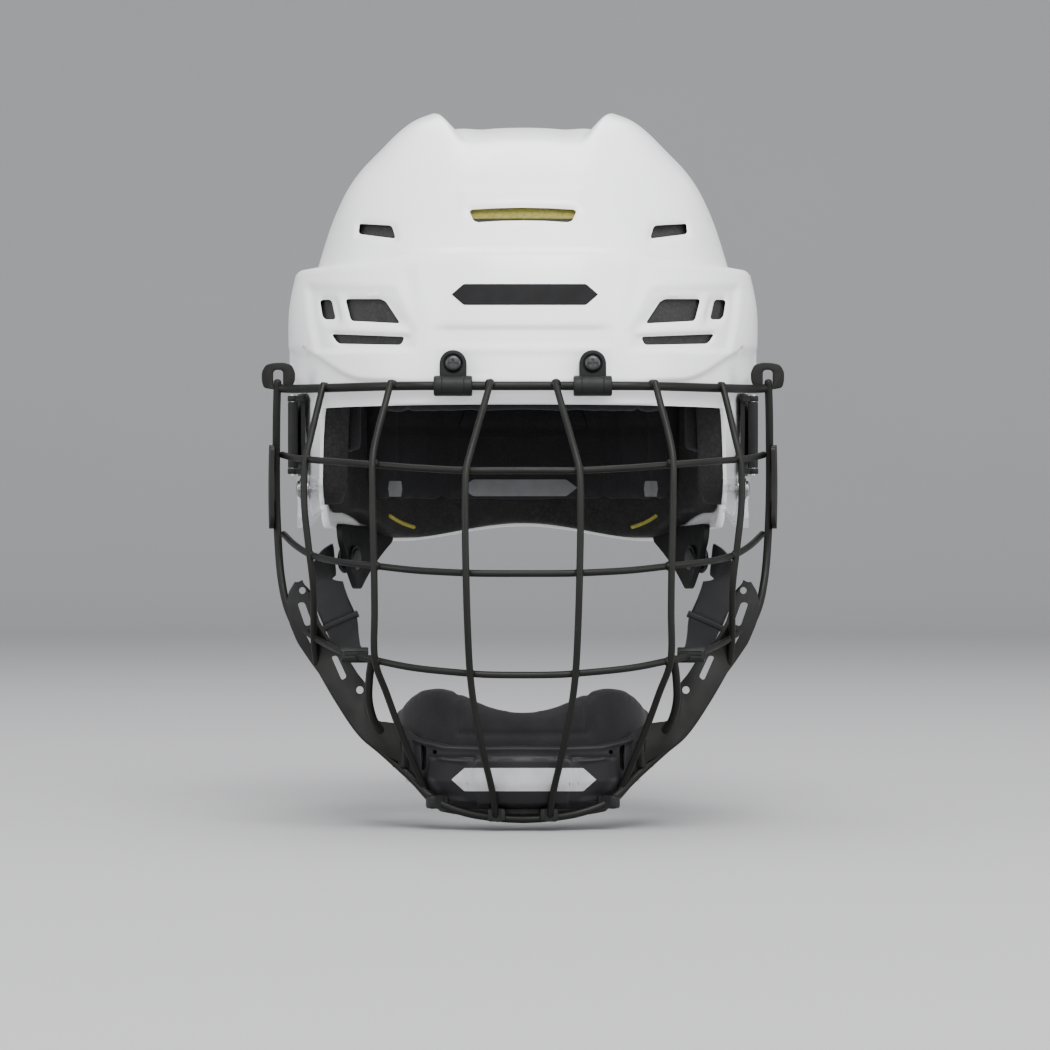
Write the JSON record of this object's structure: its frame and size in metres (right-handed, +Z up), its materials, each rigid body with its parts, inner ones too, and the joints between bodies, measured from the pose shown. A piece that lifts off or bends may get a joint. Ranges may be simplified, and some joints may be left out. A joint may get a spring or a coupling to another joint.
{
  "type": "ice hockey helmet with wire face cage",
  "caption": "Two-part white ice hockey helmet with a hinged black wire face cage, padded chin cup, side straps and clear ear guards.",
  "frame": {"origin": "on the midline, level with the brow edge of the shell, at the middle of the head cavity", "axes": "-Y towards the face side, +X towards the wearer's left, +Z up"},
  "size_m": [0.231, 0.3008, 0.3094],
  "materials": {
    "shell_white": "glossy moulded",
    "foam_black": "matt moulded foam",
    "pad_black": "soft knit over foam",
    "liner_yellow": "matt foam",
    "clear_guard": "clear polycarbonate",
    "cage_wire": "satin powder coat",
    "clip_black": "satin moulded",
    "steel": "bright plated",
    "black_steel": "black oxide",
    "insert_brass": "white lacquer over brass",
    "cup_plastic": "fine texture",
    "cup_foam": "closed-cell foam",
    "webbing": "woven webbing"
  },
  "bodies": {
    "helmet": {"front_shell": "shell_white", "vent_insert": "liner_yellow", "front_liner": "foam_black", "brow_pad": "pad_black", "temple_pad_left": "pad_black", "temple_pad_right": "pad_black", "ear_guard_left": "clear_guard", "ear_guard_right": "clear_guard", "ear_guard_screws": "steel", "j_clip_left": "clip_black", "j_clip_right": "clip_black", "j_clip_screws": "black_steel", "j_clip_nuts": "steel", "temple_insert_left": "insert_brass", "temple_insert_right": "insert_brass", "lock_base_left": "clip_black", "lock_base_right": "clip_black", "lock_pins": "steel"},
    "rear": {"rear_shell": "shell_white", "rear_liner": "foam_black", "liner_trim": "liner_yellow", "occipital_pad": "pad_black", "crown_pad": "pad_black", "strap_tab_left": "clip_black", "strap_tab_right": "clip_black", "tab_studs": "steel"},
    "lock_left": {"lock_lever_left": "clip_black"},
    "lock_right": {"lock_lever_right": "clip_black"},
    "cage": {"top_wire": "cage_wire", "frame_wire_left": "cage_wire", "frame_wire_right": "cage_wire", "brow_wire": "cage_wire", "mid_wire": "cage_wire", "mouth_wire": "cage_wire", "inner_wire_left": "cage_wire", "inner_wire_right": "cage_wire", "middle_wire_left": "cage_wire", "middle_wire_right": "cage_wire", "outer_wire_left": "cage_wire", "outer_wire_right": "cage_wire", "jaw_struts": "cage_wire", "jaw_loops": "cage_wire", "temple_eyelet_left": "cage_wire", "temple_eyelet_right": "cage_wire", "cheek_plate_left": "cage_wire", "cheek_plate_right": "cage_wire", "jaw_plate_left": "cage_wire", "jaw_plate_right": "cage_wire", "chin_cup": "cup_plastic", "chin_foam": "cup_foam", "chin_clips": "cup_plastic", "strap_lead_left": "webbing", "strap_lead_right": "webbing", "strap_hook_left": "clip_black", "strap_hook_right": "clip_black"},
    "strap_left": {"side_strap_left": "webbing", "strap_snap_left": "clip_black"},
    "strap_right": {"side_strap_right": "webbing", "strap_snap_right": "clip_black"}
  },
  "joints": [
    {"name": "cage_flip", "type": "hinge", "parent": "helmet", "child": "cage", "pos_m": [0, -0.132, 0.0045], "axis": [-1, 0, 0], "range_deg": [0, 75]},
    {"name": "size_slide", "type": "slide", "parent": "helmet", "child": "rear", "axis": [0, -1, 0], "range_m": [0, 0.01]},
    {"name": "lock_turn_left", "type": "hinge", "parent": "helmet", "child": "lock_left", "pos_m": [0.1015, -0.038, -0.014], "axis": [0, 0, -1], "range_deg": [0, 60]},
    {"name": "lock_turn_right", "type": "hinge", "parent": "helmet", "child": "lock_right", "pos_m": [-0.1015, -0.038, -0.014], "axis": [0, 0, 1], "range_deg": [0, 60]},
    {"name": "strap_fold_left", "type": "hinge", "parent": "cage", "child": "strap_left", "pos_m": [0.0797, -0.06, -0.0961], "axis": [-1, 0, 0], "range_deg": [0, 70]},
    {"name": "strap_fold_right", "type": "hinge", "parent": "cage", "child": "strap_right", "pos_m": [-0.0797, -0.06, -0.0961], "axis": [-1, 0, 0], "range_deg": [0, 70]}
  ]
}
